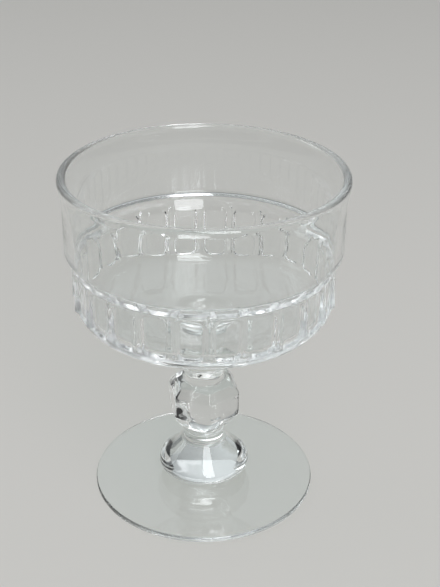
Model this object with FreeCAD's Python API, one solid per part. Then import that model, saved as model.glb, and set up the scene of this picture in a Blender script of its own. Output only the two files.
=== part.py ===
import FreeCAD, Part
import math
import os

# A footed coupe of clear pressed glass: a straight-sided bowl with a band of windows,
# a short stem with a six-sided knop and a bell-shaped base, and a flat round foot.
# Millimetres, +Z up. The origin is the centre of the foot's underside, front towards -Y.
# An outline is a list of corners (radius from the axis, height, rounding of the corner).

# Overall
HEIGHT = 115.6
RIM_RADIUS = 46.0
FOOT_RADIUS = 38.2

# Where the three pieces of glass are fused, one flat face against the other
FOOT_WELD_Z = 3.6
FOOT_WELD_RADIUS = 9.3
BOWL_WELD_Z = 46.6
NECK_RADIUS = 6.9

# Foot: a flat disc that thickens a little towards the stem
FOOT_EDGE_THICKNESS = 1.7
FOOT_EDGE_ROUNDING = 0.7
FOOT_HEEL_ROUNDING = 0.5

# Bowl, upper wall with its fire-polished rim
RIM_BEAD_THICKNESS = 2.9
RIM_BEAD_HEIGHT = 2.4
RIM_FLARE_HEIGHT = 6.0
RIM_FLARE_ROUNDING = 20.0
RIM_BEAD_ROUNDING = 6.0
RIM_BEAD_CLEARANCE = 0.01
WALL_RADIUS = 44.9
WALL_THICKNESS = 2.6
LEDGE_Z = 90.0
LEDGE_DROP = 0.4
LEDGE_INNER_ROUNDING = 0.6
LEDGE_OUTER_ROUNDING = 1.6

# Bowl, lower band
BAND_RADIUS = 42.5
BAND_THICKNESS = 2.5
BOTTOM_ROUNDING = 10.1
UNDERSIDE_SLOPE = math.radians(8.0)
UNDERSIDE_CENTRE_Z = 60.0
FLARE_ROUNDING = 7.0

# Bowl, inside
SHOULDER_TOP_Z = 88.6
SHOULDER_TOP_ROUNDING = 1.2
SHOULDER_BOTTOM_Z = 85.2
SHOULDER_BOTTOM_ROUNDING = 1.6
WALL_TAPER = 0.2
BAND_TAPER = 0.8
FLOOR_EDGE_Z = 70.4
FLOOR_ROUNDING = 4.8
FLOOR_DISH_RADIUS = 22.0
FLOOR_DISH_Z = 67.4
FLOOR_DISH_ROUNDING = 120.0
FLOOR_CENTRE_Z = 67.0

# Windows pressed into the band, with a rib standing out between each two
WINDOW_COUNT = 24
WINDOW_WIDTH = 8.2
WINDOW_BOTTOM_Z = 71.3
WINDOW_TOP_Z = 85.0
WINDOW_CORNER = 2.2
WINDOW_DEPTH = 0.9
WINDOW_CLEARANCE = 1.0
FRONT_RIB_TURN = 3.0
RIB_WIDTH = 2.0
RIB_ROOT_DEPTH = 2.0
RIB_BOTTOM_Z = 71.4
RIB_TOP_Z = 85.6
RIB_TOP_RADIUS = 42.7
RIB_BOTTOM_RADIUS = 43.1
RIB_END_CHAMFER = 1.2

# Stem
BELL_RADIUS = 15.6
BELL_LIP_Z = 6.3
BELL_SHOULDER_Z = 8.8
BELL_NECK_Z = 17.0
BELL_LIP_ROUNDING = 1.3
BELL_SHOULDER_ROUNDING = 3.6
BELL_NECK_ROUNDING = 3.0
COLLAR_RADIUS = 7.4
COLLAR_Z = 20.8
COLLAR_HEIGHT = 1.3
COLLAR_ROUNDING = 0.5
KNOP_SIDES = 6
KNOP_TURN = 10.5
# Height and corner radius of each six-sided ring of the knop, from the bottom up
KNOP_RINGS = [(22.3, 7.9), (25.0, 10.5), (28.5, 13.0), (36.5, 13.0), (39.9, 10.4), (40.5, 8.4)]

UP = FreeCAD.Vector(0, 0, 1)
AXIS_POINT = FreeCAD.Vector(0, 0, 0)


def point(radius, height):
    return FreeCAD.Vector(radius, 0, height)


def rounded_corner(before, corner, after, radius):
    """The start, middle and end of the arc that rounds one corner."""
    back = before.sub(corner).normalize()
    ahead = after.sub(corner).normalize()
    half_angle = back.getAngle(ahead) / 2
    reach = radius / math.tan(half_angle)
    start = corner.add(back.multiply(reach))
    end = corner.add(ahead.multiply(reach))
    middle_way = start.add(end).multiply(0.5).sub(corner).normalize()
    to_middle = radius / math.sin(half_angle) - radius
    return start, corner.add(middle_way.multiply(to_middle)), end


def outline_wire(corners):
    """A closed wire of straight runs, with an arc at each corner that has a rounding."""
    places = [point(radius, height) for radius, height, rounding in corners]
    edges = []
    first = None
    last = None
    for index, corner in enumerate(places):
        rounding = corners[index][2]
        before = places[index - 1]
        after = places[(index + 1) % len(places)]
        if rounding:
            start, middle, end = rounded_corner(before, corner, after, rounding)
        else:
            start, middle, end = corner, None, corner
        if last is None:
            first = start
        else:
            edges.append(Part.LineSegment(last, start).toShape())
        if middle is not None:
            edges.append(Part.Arc(start, middle, end).toShape())
        last = end
    edges.append(Part.LineSegment(last, first).toShape())
    return Part.Wire(edges)


def turned(corners):
    """The solid that an outline makes when it is turned about the axis."""
    face = Part.Face(outline_wire(corners))
    return face.revolve(AXIS_POINT, UP, 360)


def underside_z(radius):
    return UNDERSIDE_CENTRE_Z + radius * math.tan(UNDERSIDE_SLOPE)


def foot():
    return turned([
        (0, 0, 0),
        (FOOT_RADIUS, 0, FOOT_HEEL_ROUNDING),
        (FOOT_RADIUS, FOOT_EDGE_THICKNESS, FOOT_EDGE_ROUNDING),
        (FOOT_WELD_RADIUS, FOOT_WELD_Z, 0),
        (0, FOOT_WELD_Z, 0),
    ])


def knop():
    """The six-sided knop, flat-faced from ring to ring."""
    wires = []
    for height, radius in KNOP_RINGS:
        ring = []
        for side in range(KNOP_SIDES):
            angle = math.radians(KNOP_TURN + side * 360 / KNOP_SIDES)
            ring.append(FreeCAD.Vector(radius * math.sin(angle), -radius * math.cos(angle), height))
        wires.append(Part.makePolygon(ring + [ring[0]]))
    return Part.makeLoft(wires, True, True)


def stem():
    shaft = turned([
        (0, FOOT_WELD_Z, 0),
        (FOOT_WELD_RADIUS, FOOT_WELD_Z, 0),
        (BELL_RADIUS, BELL_LIP_Z, BELL_LIP_ROUNDING),
        (BELL_RADIUS, BELL_SHOULDER_Z, BELL_SHOULDER_ROUNDING),
        (NECK_RADIUS, BELL_NECK_Z, BELL_NECK_ROUNDING),
        (NECK_RADIUS, COLLAR_Z - COLLAR_HEIGHT / 2, 0),
        (COLLAR_RADIUS, COLLAR_Z, COLLAR_ROUNDING),
        (NECK_RADIUS, COLLAR_Z + COLLAR_HEIGHT / 2, 0),
        (NECK_RADIUS, BOWL_WELD_Z, 0),
        (0, BOWL_WELD_Z, 0),
    ])
    return shaft.fuse(knop()).removeSplitter()


def blank_bowl():
    bead_inner_radius = RIM_RADIUS - RIM_BEAD_THICKNESS
    bead_rounding = RIM_BEAD_THICKNESS / 2 - RIM_BEAD_CLEARANCE
    bead_foot_z = HEIGHT - RIM_BEAD_HEIGHT
    wall_inner_radius = WALL_RADIUS - WALL_THICKNESS
    band_inner_radius = BAND_RADIUS - BAND_THICKNESS
    return turned([
        (0, BOWL_WELD_Z, 0),
        (NECK_RADIUS, BOWL_WELD_Z, 0),
        (NECK_RADIUS, underside_z(NECK_RADIUS), FLARE_ROUNDING),
        (BAND_RADIUS, underside_z(BAND_RADIUS), BOTTOM_ROUNDING),
        (BAND_RADIUS, LEDGE_Z - LEDGE_DROP, LEDGE_INNER_ROUNDING),
        (WALL_RADIUS, LEDGE_Z, LEDGE_OUTER_ROUNDING),
        (WALL_RADIUS, bead_foot_z - RIM_FLARE_HEIGHT, RIM_FLARE_ROUNDING),
        (RIM_RADIUS, bead_foot_z, RIM_BEAD_ROUNDING),
        (RIM_RADIUS, HEIGHT, bead_rounding),
        (bead_inner_radius, HEIGHT, bead_rounding),
        (bead_inner_radius, bead_foot_z, RIM_BEAD_ROUNDING),
        (wall_inner_radius, bead_foot_z - RIM_FLARE_HEIGHT, RIM_FLARE_ROUNDING),
        (wall_inner_radius - WALL_TAPER, SHOULDER_TOP_Z, SHOULDER_TOP_ROUNDING),
        (band_inner_radius, SHOULDER_BOTTOM_Z, SHOULDER_BOTTOM_ROUNDING),
        (band_inner_radius - BAND_TAPER, FLOOR_EDGE_Z, FLOOR_ROUNDING),
        (FLOOR_DISH_RADIUS, FLOOR_DISH_Z, FLOOR_DISH_ROUNDING),
        (0, FLOOR_CENTRE_Z, 0),
    ])


def window_layer():
    """The outer skin of the band, as deep as the windows are pressed."""
    inner = BAND_RADIUS - WINDOW_DEPTH
    far_in = inner - 2 * BOTTOM_ROUNDING
    beyond = WALL_RADIUS
    return turned([
        (far_in, underside_z(far_in) + WINDOW_DEPTH, 0),
        (inner, underside_z(inner) + WINDOW_DEPTH, BOTTOM_ROUNDING - WINDOW_DEPTH),
        (inner, LEDGE_Z, 0),
        (beyond, LEDGE_Z, 0),
        (beyond, UNDERSIDE_CENTRE_Z, 0),
        (far_in, UNDERSIDE_CENTRE_Z, 0),
    ])


def window_block():
    """A round-cornered block that reaches out through the middle of the front window."""
    depth = BAND_RADIUS / 2
    corner = FreeCAD.Vector(-WINDOW_WIDTH / 2, -BAND_RADIUS - WINDOW_CLEARANCE, WINDOW_BOTTOM_Z)
    block = Part.makeBox(WINDOW_WIDTH, depth, WINDOW_TOP_Z - WINDOW_BOTTOM_Z, corner)
    long_edges = [edge for edge in block.Edges if math.isclose(edge.Length, depth)]
    return block.makeFillet(WINDOW_CORNER, long_edges)


def rib():
    """The bar between two windows, nearly flush at its top and proud at its foot."""
    root_radius = BAND_RADIUS - RIB_ROOT_DEPTH
    side = [
        (root_radius, RIB_BOTTOM_Z),
        (RIB_BOTTOM_RADIUS - RIB_END_CHAMFER, RIB_BOTTOM_Z),
        (RIB_BOTTOM_RADIUS, RIB_BOTTOM_Z + RIB_END_CHAMFER),
        (RIB_TOP_RADIUS, RIB_TOP_Z),
        (root_radius, RIB_TOP_Z),
    ]
    corners = [FreeCAD.Vector(-RIB_WIDTH / 2, -radius, height) for radius, height in side]
    face = Part.Face(Part.makePolygon(corners + [corners[0]]))
    return face.extrude(FreeCAD.Vector(RIB_WIDTH, 0, 0))


def round_the_band(piece, first_angle):
    """Copies of one piece, turned about the axis, one for each window."""
    pitch = 360 / WINDOW_COUNT
    return [piece.rotated(AXIS_POINT, UP, first_angle + pitch * index) for index in range(WINDOW_COUNT)]


def bowl():
    window = window_layer().common(window_block())
    half_pitch = 180 / WINDOW_COUNT
    windows = round_the_band(window, FRONT_RIB_TURN + half_pitch)
    ribs = round_the_band(rib(), FRONT_RIB_TURN)
    return blank_bowl().cut(windows).fuse(ribs).removeSplitter()


def main():
    os.makedirs("parts", exist_ok=True)
    pieces = {"bowl": bowl(), "stem": stem(), "foot": foot()}
    for name, shape in pieces.items():
        solid = shape.Solids[0]
        print(name, len(shape.Solids), solid.isValid(), round(solid.Volume), solid.BoundBox)
        solid.exportStep(f"parts/{name}.step")


main()
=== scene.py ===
import math

import bpy
import numpy as np
from mathutils import Matrix, Vector


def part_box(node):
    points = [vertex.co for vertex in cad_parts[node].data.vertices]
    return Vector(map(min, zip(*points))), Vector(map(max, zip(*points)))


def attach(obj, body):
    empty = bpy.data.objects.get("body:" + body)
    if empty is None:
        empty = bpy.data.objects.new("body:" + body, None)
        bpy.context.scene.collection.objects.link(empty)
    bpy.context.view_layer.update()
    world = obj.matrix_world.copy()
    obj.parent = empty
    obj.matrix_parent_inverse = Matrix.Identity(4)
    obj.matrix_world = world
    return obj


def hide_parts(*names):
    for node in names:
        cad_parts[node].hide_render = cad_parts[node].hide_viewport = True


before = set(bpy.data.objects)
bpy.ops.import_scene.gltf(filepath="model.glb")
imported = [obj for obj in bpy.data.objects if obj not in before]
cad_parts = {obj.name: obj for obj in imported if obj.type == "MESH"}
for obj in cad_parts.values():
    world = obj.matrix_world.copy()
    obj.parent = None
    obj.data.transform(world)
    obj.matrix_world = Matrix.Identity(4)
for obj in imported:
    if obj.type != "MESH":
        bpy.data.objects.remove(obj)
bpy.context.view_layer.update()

# A footed coupe of clear pressed glass, in three pieces that are fused face to face. Sizes are in
# millimetres unless a comment says metres. Radii are from the axis, heights from the underside of
# the foot, and the front is towards -Y. An outline is a list of corners (radius, height, rounding).
MM = 0.001
bowl_low, bowl_high = [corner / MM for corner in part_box("bowl")]
stem_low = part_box("stem")[0] / MM
foot_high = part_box("foot")[1] / MM

# Overall, and the flat faces where the pieces are fused
HEIGHT = bowl_high.z
RIM_RADIUS = bowl_high.x
FOOT_RADIUS = foot_high.x
FOOT_WELD_Z = stem_low.z
FOOT_WELD_RADIUS = 9.3
BOWL_WELD_Z = bowl_low.z
NECK_RADIUS = 6.9

# Foot
FOOT_EDGE_THICKNESS = 1.7
FOOT_EDGE_ROUNDING = 0.7
FOOT_HEEL_ROUNDING = 0.5

# Bowl, upper wall and rim
BEAD_WIDTH = 2.9
BEAD_HEIGHT = 2.4
BEAD_FOOT_ROUNDING = 6.0
BEAD_CLEARANCE = 0.01
RIM_FLARE_HEIGHT = 6.0
RIM_FLARE_ROUNDING = 20.0
WALL_RADIUS = 44.9
WALL_THICKNESS = 2.6
WALL_TAPER = 0.2
LEDGE_Z = 90.0
LEDGE_DROP = 0.4
LEDGE_INNER_ROUNDING = 0.6
LEDGE_OUTER_ROUNDING = 1.6

# Bowl, lower band and underside
BAND_RADIUS = 42.5
BAND_THICKNESS = 2.5
BAND_TAPER = 0.8
BOTTOM_ROUNDING = 10.1
UNDERSIDE_SLOPE = math.radians(8.0)
UNDERSIDE_CENTRE_Z = 60.0
FLARE_ROUNDING = 7.0

# Bowl, inside
SHOULDER_TOP_Z = 88.6
SHOULDER_TOP_ROUNDING = 1.2
SHOULDER_BOTTOM_Z = 85.2
SHOULDER_BOTTOM_ROUNDING = 1.6
FLOOR_EDGE_Z = 70.4
FLOOR_ROUNDING = 4.8
FLOOR_DISH_RADIUS = 22.0
FLOOR_DISH_Z = 67.4
FLOOR_DISH_ROUNDING = 120.0
FLOOR_CENTRE_Z = 67.0

# Windows pressed into the band, and a rib standing between each two
WINDOWS = 24
PITCH = 2 * math.pi / WINDOWS
RIB_TURN = math.radians(3.0)
WINDOW_HALF_WIDTH = 3.9
WINDOW_TAPER = 0.05
WINDOW_BOTTOM_Z = 71.3
WINDOW_TOP_Z = 85.0
WINDOW_MIDDLE_Z = (WINDOW_TOP_Z + WINDOW_BOTTOM_Z) / 2
WINDOW_HALF_HEIGHT = (WINDOW_TOP_Z - WINDOW_BOTTOM_Z) / 2
WINDOW_CORNER = 2.2
WINDOW_DEPTH = 0.9
WINDOW_EDGE = 0.5
# The part of the outside that windows and ribs may shape
RELIEF_INNER_RADIUS = BAND_RADIUS - 6
RELIEF_TOP_Z = LEDGE_Z - 1.5
RIB_CREST_HALF_WIDTH = 0.35
RIB_FOOT_HALF_WIDTH = 1.8
RIB_CREST_Z = [71.2, 72.7, 85.2, 86.2]
RIB_CREST_RADIUS = [41.7, 43.05, 42.7, 42.3]
# Distances from a rib's middle at which the bowl's mesh has a column of points
COLUMN_MARKS = [0, 0.25, 0.45, 0.8, 1.15, 1.45, 1.7, 1.95, 2.3, 2.8, 3.4, 4.1, 4.8]

# Stem
BELL_RADIUS = 15.6
BELL_LIP_Z = 6.3
BELL_LIP_ROUNDING = 1.3
BELL_SHOULDER_Z = 8.8
BELL_SHOULDER_ROUNDING = 3.6
BELL_NECK_Z = 17.0
BELL_NECK_ROUNDING = 3.0
COLLAR_RADIUS = 7.4
COLLAR_Z = 20.8
COLLAR_HALF_HEIGHT = 0.65
COLLAR_FOOT_ROUNDING = 0.4
COLLAR_ROUNDING = 0.5
KNOP_SIDES = 6
KNOP_TURN = math.radians(10.5)
# Height and corner radius of each ring of the knop. The two end rings are inside the neck.
KNOP_RINGS = [(21.6, 4.0), (22.3, 7.9), (25.0, 10.5), (28.5, 13.0),
              (36.5, 13.0), (39.9, 10.4), (40.5, 8.4), (41.0, 4.0)]
KNOP_SMOOTHINGS = 4
KNOP_SMOOTHING_SHARES = (0.25, 0.5, 0.25)
# How sharp the knop's upright edges are, and its meeting with the neck: more is sharper
KNOP_EDGE = 26
NECK_BLEND = 14
LEAST_RADIUS = 0.1

# Mesh spacing
ARC_STEP = math.radians(7)
PLAIN_GAP = 1.6
BAND_GAP = 0.35
BAND_FINE_Z = (69, 87)
BAND_FINE_DEPTH = 1.2
NECK_GAP = 0.3
BELL_GAP = 0.6
BELL_TOP_Z = 16
FOOT_GAP = 1.5
TURN_STEPS = 360

# Unevenness of the glass: how far the surface wanders, and the stretch of it that does
WALL_RIPPLE = 0.05
WALL_RIPPLE_SEED = 11
WALL_RIPPLE_INNER_RADIUS = 37.5
WALL_RIPPLE_FADE = 1.5
WALL_RIPPLE_TOP_Z = HEIGHT - 8
FOOT_RIPPLE = 0.004
FOOT_RIPPLE_SEED = 5
FOOT_RIPPLE_INNER_RADIUS = FOOT_WELD_RADIUS + 0.5
FOOT_RIPPLE_OUTER_RADIUS = FOOT_RADIUS - 1
FOOT_RIPPLE_BOTTOM_Z = 1.5
RIPPLE_TURNS = (2, 3, 5, 7, 11)
RIPPLE_RISE = 0.12

# Glass
GLASS_COLOUR = (0.95, 0.963, 0.96, 1)
GLASS_IOR = 1.51
GLASS_SHADOW_COLOUR = (0.955, 0.965, 0.96, 1)
SMEAR = {"Scale": 55.0, "Detail": 3.0}
SMEAR_ROUGHNESS = {"From Min": 0.4, "From Max": 0.8, "To Min": 0.004, "To Max": 0.03}
WAVES = {"Scale": 140.0, "Detail": 1.0}
WAVE_BUMP = {"Strength": 0.05, "Distance": 0.0006}

# Floor, lights, sky and camera, in metres and watts
FLOOR_COLOUR = (0.68, 0.652, 0.618, 1)
FLOOR_HALF = 4.0
FLOOR_Z = -0.0002
LIGHTS = [
    {"name": "window_light", "place": (0.6, -1.96, 2.2), "aim": (0, 0, 0.07),
     "size": (1.15, 3.2), "power": 80.0, "colour": (0.96, 0.98, 1.0)},
    {"name": "side_light", "place": (-1.7, 0.5, 0.9), "aim": (0, 0, 0.09),
     "size": (0.5, 1.3), "power": 4.0, "colour": (0.9, 0.97, 1.0)},
]
SKY_BRIGHT_SIDE = (-0.3, 0.65, 0.7)
# How far towards the bright side, from 0 to 1, and the sky's colour there
SKY_STOPS = [(0.3, (0.015, 0.015, 0.016)), (0.74, (0.03, 0.03, 0.032)), (0.98, (0.76, 0.81, 0.82))]
CAMERA_PLACE = (0.005185, -0.326787, 0.2427)
CAMERA_PITCH = math.radians(27.517)
CAMERA_ROLL = 0.0097778
CAMERA_LENS = 68.66555
CAMERA_SENSOR = 36.0
CAMERA_CLIP_START = 0.01

# Light passes through many faces of a thin-walled glass
LIGHT_BOUNCES = 32
TRANSPARENT_BOUNCES = 24
GLOSSY_BOUNCES = 18


# ---------------------------------------------------------------- geometry helpers

def trace(corners, gap_at):
    """Points along the outline's rounded corners and straight runs, no further apart than gap_at says."""
    places = [Vector((radius, height)) for radius, height, rounding in corners]
    points = [places[0]]
    for before, here, after, corner in zip(places, places[1:], places[2:], corners[1:-1]):
        rounding = corner[2]
        if rounding == 0:
            points.append(here)
            continue
        back = (before - here).normalized()
        ahead = (after - here).normalized()
        half = back.angle(ahead) / 2
        centre = here + (back + ahead).normalized() * rounding / math.sin(half)
        first = here + back * rounding / math.tan(half) - centre
        last = here + ahead * rounding / math.tan(half) - centre
        start = math.atan2(first.y, first.x)
        sweep = (math.atan2(last.y, last.x) - start + math.pi) % (2 * math.pi) - math.pi
        steps = math.ceil(max(abs(sweep) / ARC_STEP, rounding * abs(sweep) / gap_at(*here)))
        for step in range(steps + 1):
            angle = start + sweep * step / steps
            points.append(centre + Vector((math.cos(angle), math.sin(angle))) * rounding)
    points.append(places[-1])
    fine = [points[0]]
    for a, b in zip(points, points[1:]):
        steps = max(1, math.ceil((b - a).length / gap_at(*((a + b) / 2))))
        fine += [a.lerp(b, step / steps) for step in range(1, steps + 1)]
    return np.array([tuple(p) for p in fine])


def outward(outline):
    """The unit normals of an outline that runs with the glass on its left."""
    along = np.gradient(outline, axis=0)
    along /= np.linalg.norm(along, axis=1)[:, None]
    return np.stack([along[:, 1], -along[:, 0]], 1)


def fused_rows(outline):
    """True for each row of faces that lies where two pieces of glass are fused."""
    at_weld = np.isclose(outline[:, 1:], (FOOT_WELD_Z, BOWL_WELD_Z)).any(axis=1)
    return at_weld[:-1] & at_weld[1:]


def turned_mesh(name, radius, height, angles, fused):
    """A closed mesh from rows of radii and heights at the given angles. The first and the last row
    are points on the axis. The rows of faces that are fused take the second material."""
    rows, columns = radius.shape
    body = np.stack([radius * np.sin(angles), -radius * np.cos(angles), height], 2)[1:-1]
    bottom = (0, 0, height[0, 0])
    top = (0, 0, height[-1, 0])
    verts = np.concatenate([[bottom], body.reshape(-1, 3), [top]]) * MM
    grid = 1 + np.arange((rows - 2) * columns).reshape(rows - 2, columns)
    ahead = np.roll(grid, -1, axis=1)
    quads = np.stack([grid[:-1], ahead[:-1], ahead[1:], grid[1:]], 2).reshape(-1, 4)
    faces = [(0, int(b), int(a)) for a, b in zip(grid[0], ahead[0])]
    faces += quads.tolist()
    faces += [(len(verts) - 1, int(a), int(b)) for a, b in zip(grid[-1], ahead[-1])]
    mesh = bpy.data.meshes.new(name)
    mesh.from_pydata(verts.tolist(), [], faces)
    mesh.polygons.foreach_set("material_index", np.repeat(fused, columns).astype(np.int32))
    mesh.polygons.foreach_set("use_smooth", np.ones(len(faces), bool))
    on_seam = np.zeros(len(verts), bool)
    on_seam[1:-1] = np.repeat(fused[1:] != fused[:-1], columns)
    ends = np.array([edge.vertices[:] for edge in mesh.edges])
    sharp = mesh.attributes.new("sharp_edge", "BOOLEAN", "EDGE")
    sharp.data.foreach_set("value", on_seam[ends].all(axis=1))
    mesh.update()
    piece = bpy.data.objects.new(name, mesh)
    bpy.context.scene.collection.objects.link(piece)
    return piece


def full_turn():
    return np.linspace(0, 2 * math.pi, TURN_STEPS, endpoint=False)[None, :]


def smooth_step(value, low, high):
    share = np.clip((value - low) / (high - low), 0, 1)
    return share * share * (3 - 2 * share)


def ripple(angles, places, seed, size):
    """A slow unevenness of the glass, in millimetres: a few waves round the axis, which lean a little."""
    random = np.random.default_rng(seed)
    total = np.zeros(np.broadcast_shapes(angles.shape, places.shape))
    for turns in RIPPLE_TURNS:
        phase = random.uniform(0, 2 * math.pi)
        rise = random.uniform(-RIPPLE_RISE, RIPPLE_RISE)
        total = total + np.sin(turns * angles + rise * places + phase) / math.sqrt(turns)
    return total * size / 2


# ---------------------------------------------------------------- bowl

def underside_z(radius):
    return UNDERSIDE_CENTRE_Z + radius * math.tan(UNDERSIDE_SLOPE)


def bowl_corners():
    """The bowl's outline, from the weld out and up to the rim, and down the inside to the floor."""
    bead_foot = HEIGHT - BEAD_HEIGHT
    bead_inner = RIM_RADIUS - BEAD_WIDTH
    bead_rounding = BEAD_WIDTH / 2 - BEAD_CLEARANCE
    wall_inner = WALL_RADIUS - WALL_THICKNESS
    band_inner = BAND_RADIUS - BAND_THICKNESS
    return [
        (0, BOWL_WELD_Z, 0),
        (NECK_RADIUS, BOWL_WELD_Z, 0),
        (NECK_RADIUS, underside_z(NECK_RADIUS), FLARE_ROUNDING),
        (BAND_RADIUS, underside_z(BAND_RADIUS), BOTTOM_ROUNDING),
        (BAND_RADIUS, LEDGE_Z - LEDGE_DROP, LEDGE_INNER_ROUNDING),
        (WALL_RADIUS, LEDGE_Z, LEDGE_OUTER_ROUNDING),
        (WALL_RADIUS, bead_foot - RIM_FLARE_HEIGHT, RIM_FLARE_ROUNDING),
        (RIM_RADIUS, bead_foot, BEAD_FOOT_ROUNDING),
        (RIM_RADIUS, HEIGHT, bead_rounding),
        (bead_inner, HEIGHT, bead_rounding),
        (bead_inner, bead_foot, BEAD_FOOT_ROUNDING),
        (wall_inner, bead_foot - RIM_FLARE_HEIGHT, RIM_FLARE_ROUNDING),
        (wall_inner - WALL_TAPER, SHOULDER_TOP_Z, SHOULDER_TOP_ROUNDING),
        (band_inner, SHOULDER_BOTTOM_Z, SHOULDER_BOTTOM_ROUNDING),
        (band_inner - BAND_TAPER, FLOOR_EDGE_Z, FLOOR_ROUNDING),
        (FLOOR_DISH_RADIUS, FLOOR_DISH_Z, FLOOR_DISH_ROUNDING),
        (0, FLOOR_CENTRE_Z, 0),
    ]


def bowl_gap(radius, height):
    on_band = BAND_FINE_Z[0] < height < BAND_FINE_Z[1] and radius > BAND_RADIUS - BAND_FINE_DEPTH
    return BAND_GAP if on_band else PLAIN_GAP


def band_columns():
    """Angles round the bowl, closer together at the ribs and at the sides of the windows."""
    offsets = sorted({sign * mark / BAND_RADIUS for mark in COLUMN_MARKS for sign in (-1, 1)})
    return np.array([RIB_TURN + window * PITCH + offset for window in range(WINDOWS) for offset in offsets])


def band_relief(angles, radius, height):
    """How far the outside of the band stands out from its plain outline, in millimetres."""
    off_rib = (angles - RIB_TURN + PITCH / 2) % PITCH - PITCH / 2
    across = np.abs(off_rib) * BAND_RADIUS
    from_middle = PITCH * BAND_RADIUS / 2 - across
    widening = WINDOW_TAPER * (height - WINDOW_MIDDLE_Z)
    out_x = from_middle - WINDOW_HALF_WIDTH - widening + WINDOW_CORNER
    out_z = np.abs(height - WINDOW_MIDDLE_Z) - WINDOW_HALF_HEIGHT + WINDOW_CORNER
    beyond = np.hypot(np.maximum(out_x, 0), np.maximum(out_z, 0))
    beyond = beyond + np.minimum(np.maximum(out_x, out_z), 0) - WINDOW_CORNER
    sunk = WINDOW_DEPTH * (1 - smooth_step(beyond, -WINDOW_EDGE, WINDOW_EDGE))
    crest = np.interp(height, RIB_CREST_Z, RIB_CREST_RADIUS)
    proud = np.maximum(crest - radius, 0) * ((height > RIB_CREST_Z[0]) & (height < RIB_CREST_Z[-1]))
    flank = (across - RIB_CREST_HALF_WIDTH) / (RIB_FOOT_HALF_WIDTH - widening - RIB_CREST_HALF_WIDTH)
    rib = (proud + WINDOW_DEPTH) * (1 - np.clip(flank, 0, 1))
    return np.maximum(rib - WINDOW_DEPTH, 0) * (proud > 0) - sunk


def make_bowl():
    outline = trace(bowl_corners(), bowl_gap)
    normals = outward(outline)
    angles = band_columns()[None, :]
    radius = outline[:, :1]
    height = outline[:, 1:]
    outside = np.arange(len(outline))[:, None] < int(np.argmax(outline[:, 1]))
    on_band = outside & (radius > RELIEF_INNER_RADIUS) & (height < RELIEF_TOP_Z)
    relief = np.where(on_band, band_relief(angles, radius, height), 0)
    on_wall = ~outside & (radius > WALL_RIPPLE_INNER_RADIUS) & (height < WALL_RIPPLE_TOP_Z)
    fade = smooth_step(radius, WALL_RIPPLE_INNER_RADIUS, WALL_RIPPLE_INNER_RADIUS + WALL_RIPPLE_FADE)
    uneven = ripple(angles, height, WALL_RIPPLE_SEED, WALL_RIPPLE) * fade
    away = relief + np.where(on_wall, uneven, 0)
    return turned_mesh("bowl_glass", radius + away * normals[:, :1], height + away * normals[:, 1:],
                       angles, fused_rows(outline))


# ---------------------------------------------------------------- stem and foot

def stem_corners():
    return [
        (0, FOOT_WELD_Z, 0),
        (FOOT_WELD_RADIUS, FOOT_WELD_Z, 0),
        (BELL_RADIUS, BELL_LIP_Z, BELL_LIP_ROUNDING),
        (BELL_RADIUS, BELL_SHOULDER_Z, BELL_SHOULDER_ROUNDING),
        (NECK_RADIUS, BELL_NECK_Z, BELL_NECK_ROUNDING),
        (NECK_RADIUS, COLLAR_Z - COLLAR_HALF_HEIGHT, COLLAR_FOOT_ROUNDING),
        (COLLAR_RADIUS, COLLAR_Z, COLLAR_ROUNDING),
        (NECK_RADIUS, COLLAR_Z + COLLAR_HALF_HEIGHT, COLLAR_FOOT_ROUNDING),
        (NECK_RADIUS, BOWL_WELD_Z, 0),
        (0, BOWL_WELD_Z, 0),
    ]


def stem_gap(radius, height):
    return NECK_GAP if height > BELL_TOP_Z else BELL_GAP


def knop_radius(heights, angles):
    """The six-sided knop's surface, its rings softened a little and its upright edges rounded."""
    reach = np.interp(heights, [z for z, corner in KNOP_RINGS], [corner for z, corner in KNOP_RINGS])
    for smoothing in range(KNOP_SMOOTHINGS):
        reach = np.convolve(np.pad(reach, 1, mode="edge"), KNOP_SMOOTHING_SHARES, mode="valid")
    flat = reach * math.cos(math.pi / KNOP_SIDES)
    total = 0
    for side in range(KNOP_SIDES):
        facing = KNOP_TURN + (side + 0.5) * 2 * math.pi / KNOP_SIDES
        total = total + np.maximum(np.cos(angles - facing), 0) ** KNOP_EDGE
    return flat[:, None] * total ** (-1 / KNOP_EDGE)


def make_stem():
    outline = trace(stem_corners(), stem_gap)
    angles = full_turn()
    radius = outline[:, :1] + 0 * angles
    height = outline[:, 1:] + 0 * angles
    knop = knop_radius(outline[:, 1], angles)
    with_knop = (outline[:, 1] > KNOP_RINGS[0][0]) & (outline[:, 1] < KNOP_RINGS[-1][0])
    blend = (np.maximum(radius, LEAST_RADIUS) ** NECK_BLEND + knop ** NECK_BLEND) ** (1 / NECK_BLEND)
    radius = np.where(with_knop[:, None], blend, radius)
    return turned_mesh("stem_glass", radius, height, angles, fused_rows(outline))


def make_foot():
    corners = [
        (0, 0, 0),
        (FOOT_RADIUS, 0, FOOT_HEEL_ROUNDING),
        (FOOT_RADIUS, FOOT_EDGE_THICKNESS, FOOT_EDGE_ROUNDING),
        (FOOT_WELD_RADIUS, FOOT_WELD_Z, 0),
        (0, FOOT_WELD_Z, 0),
    ]
    outline = trace(corners, lambda radius, height: FOOT_GAP)
    angles = full_turn()
    radius = outline[:, :1] + 0 * angles
    height = outline[:, 1:] + 0 * angles
    inside = (radius > FOOT_RIPPLE_INNER_RADIUS) & (radius < FOOT_RIPPLE_OUTER_RADIUS)
    on_top = inside & (height > FOOT_RIPPLE_BOTTOM_Z)
    height = height + np.where(on_top, ripple(angles, radius, FOOT_RIPPLE_SEED, FOOT_RIPPLE), 0)
    return turned_mesh("foot_glass", radius, height, angles, fused_rows(outline))


# ---------------------------------------------------------------- materials

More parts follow.
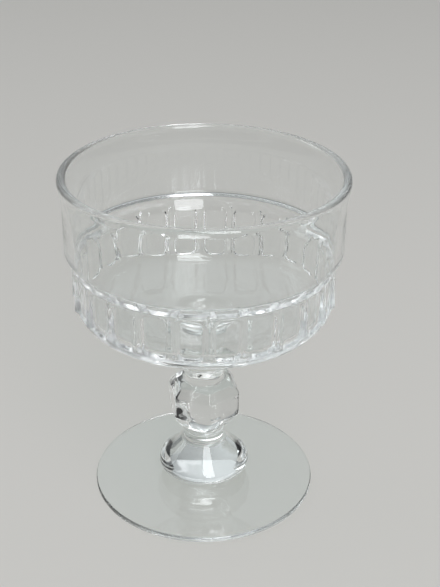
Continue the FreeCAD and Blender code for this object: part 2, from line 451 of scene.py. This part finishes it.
def new_material(name):
    material = bpy.data.materials.new(name)
    material.use_nodes = True
    tree = material.node_tree
    tree.nodes.clear()
    return material, tree.nodes, tree.links


def add_node(nodes, kind, values):
    """A new node with the given values on its sockets."""
    node = nodes.new(kind)
    for socket, value in values.items():
        node.inputs[socket].default_value = value
    return node


def clear_glass():
    """Clear glass, faintly smeared and wavy. Shadow rays and diffuse rays pass straight through it."""
    material, nodes, links = new_material("clear_glass")
    glass = add_node(nodes, "ShaderNodeBsdfPrincipled",
                     {"Base Color": GLASS_COLOUR, "Transmission Weight": 1.0, "IOR": GLASS_IOR})
    where = nodes.new("ShaderNodeTexCoord")
    smear = add_node(nodes, "ShaderNodeTexNoise", SMEAR)
    rough = add_node(nodes, "ShaderNodeMapRange", SMEAR_ROUGHNESS)
    links.new(where.outputs["Object"], smear.inputs["Vector"])
    links.new(smear.outputs["Fac"], rough.inputs["Value"])
    links.new(rough.outputs["Result"], glass.inputs["Roughness"])
    waves = add_node(nodes, "ShaderNodeTexNoise", WAVES)
    bump = add_node(nodes, "ShaderNodeBump", WAVE_BUMP)
    links.new(where.outputs["Object"], waves.inputs["Vector"])
    links.new(waves.outputs["Fac"], bump.inputs["Height"])
    links.new(bump.outputs["Normal"], glass.inputs["Normal"])
    light_path = nodes.new("ShaderNodeLightPath")
    through = add_node(nodes, "ShaderNodeBsdfTransparent", {"Color": GLASS_SHADOW_COLOUR})
    shown = glass.outputs[0]
    for ray in ("Is Shadow Ray", "Is Diffuse Ray"):
        mix = nodes.new("ShaderNodeMixShader")
        links.new(light_path.outputs[ray], mix.inputs[0])
        links.new(shown, mix.inputs[1])
        links.new(through.outputs[0], mix.inputs[2])
        shown = mix.outputs[0]
    out = nodes.new("ShaderNodeOutputMaterial")
    links.new(shown, out.inputs["Surface"])
    return material


def plain_material(name, shader, values):
    material, nodes, links = new_material(name)
    surface = add_node(nodes, shader, values)
    out = nodes.new("ShaderNodeOutputMaterial")
    links.new(surface.outputs[0], out.inputs["Surface"])
    return material


# ---------------------------------------------------------------- building

GLASS = clear_glass()
# Where two pieces of hot glass met there is no surface left to see
FUSED = plain_material("fused_face", "ShaderNodeBsdfTransparent", {})

for make, node in ((make_bowl, "bowl"), (make_stem, "stem"), (make_foot, "foot")):
    piece = make()
    piece.data.materials.append(GLASS)
    piece.data.materials.append(FUSED)
    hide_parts(node)
    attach(piece, "root")


# ---------------------------------------------------------------- stage, light and camera

def make_floor():
    mesh = bpy.data.meshes.new("floor")
    corners = [(-1, -1), (1, -1), (1, 1), (-1, 1)]
    mesh.from_pydata([(x * FLOOR_HALF, y * FLOOR_HALF, FLOOR_Z) for x, y in corners], [], [(0, 1, 2, 3)])
    paint = plain_material("floor_paint", "ShaderNodeBsdfDiffuse", {"Color": FLOOR_COLOUR})
    mesh.materials.append(paint)
    floor = bpy.data.objects.new("floor", mesh)
    bpy.context.scene.collection.objects.link(floor)
    return floor


def soft_light(name, place, aim, size, power, colour):
    lamp = bpy.data.lights.new(name, "AREA")
    lamp.shape = "RECTANGLE"
    lamp.size, lamp.size_y = size
    lamp.energy = power
    lamp.color = colour
    holder = bpy.data.objects.new(name, lamp)
    holder.location = place
    holder.rotation_euler = (Vector(aim) - Vector(place)).to_track_quat("-Z", "Y").to_euler()
    bpy.context.scene.collection.objects.link(holder)


def make_sky():
    """A sky that is pale above and behind the glass and dark all round, so that edges show. Half the
    lean towards the bright side, plus a half, is a share from 0 to 1."""
    world = bpy.data.worlds.new("studio")
    world.use_nodes = True
    nodes, links = world.node_tree.nodes, world.node_tree.links
    nodes.clear()
    where = nodes.new("ShaderNodeTexCoord")
    lean = nodes.new("ShaderNodeVectorMath")
    lean.operation = "DOT_PRODUCT"
    lean.inputs[1].default_value = Vector(SKY_BRIGHT_SIDE).normalized() / 2
    share = nodes.new("ShaderNodeMath")
    share.operation = "ADD"
    share.inputs[1].default_value = 0.5
    ramp = nodes.new("ShaderNodeValToRGB")
    stops = ramp.color_ramp.elements
    for position, colour in SKY_STOPS:
        stops.new(position).color = (*colour, 1)
    stops.remove(stops[0])
    stops.remove(stops[-1])
    back = nodes.new("ShaderNodeBackground")
    out = nodes.new("ShaderNodeOutputWorld")
    links.new(where.outputs["Generated"], lean.inputs[0])
    links.new(lean.outputs["Value"], share.inputs[0])
    links.new(share.outputs[0], ramp.inputs["Fac"])
    links.new(ramp.outputs["Color"], back.inputs["Color"])
    links.new(back.outputs[0], out.inputs["Surface"])
    return world


def make_camera():
    lens = bpy.data.cameras.new("camera")
    lens.sensor_width = CAMERA_SENSOR
    lens.lens = CAMERA_LENS
    lens.clip_start = CAMERA_CLIP_START
    camera = bpy.data.objects.new("camera", lens)
    turn = Matrix.Rotation(math.pi / 2 - CAMERA_PITCH, 4, "X") @ Matrix.Rotation(CAMERA_ROLL, 4, "Z")
    camera.matrix_world = Matrix.Translation(CAMERA_PLACE) @ turn
    bpy.context.scene.collection.objects.link(camera)
    return camera


floor = make_floor()
for light in LIGHTS:
    soft_light(**light)
bpy.context.scene.camera = make_camera()
picture = bpy.context.scene
picture.world = make_sky()
picture.view_settings.view_transform = "Standard"
picture.cycles.max_bounces = LIGHT_BOUNCES
picture.cycles.transmission_bounces = LIGHT_BOUNCES
picture.cycles.transparent_max_bounces = TRANSPARENT_BOUNCES
picture.cycles.glossy_bounces = GLOSSY_BOUNCES

bpy.context.view_layer.update()
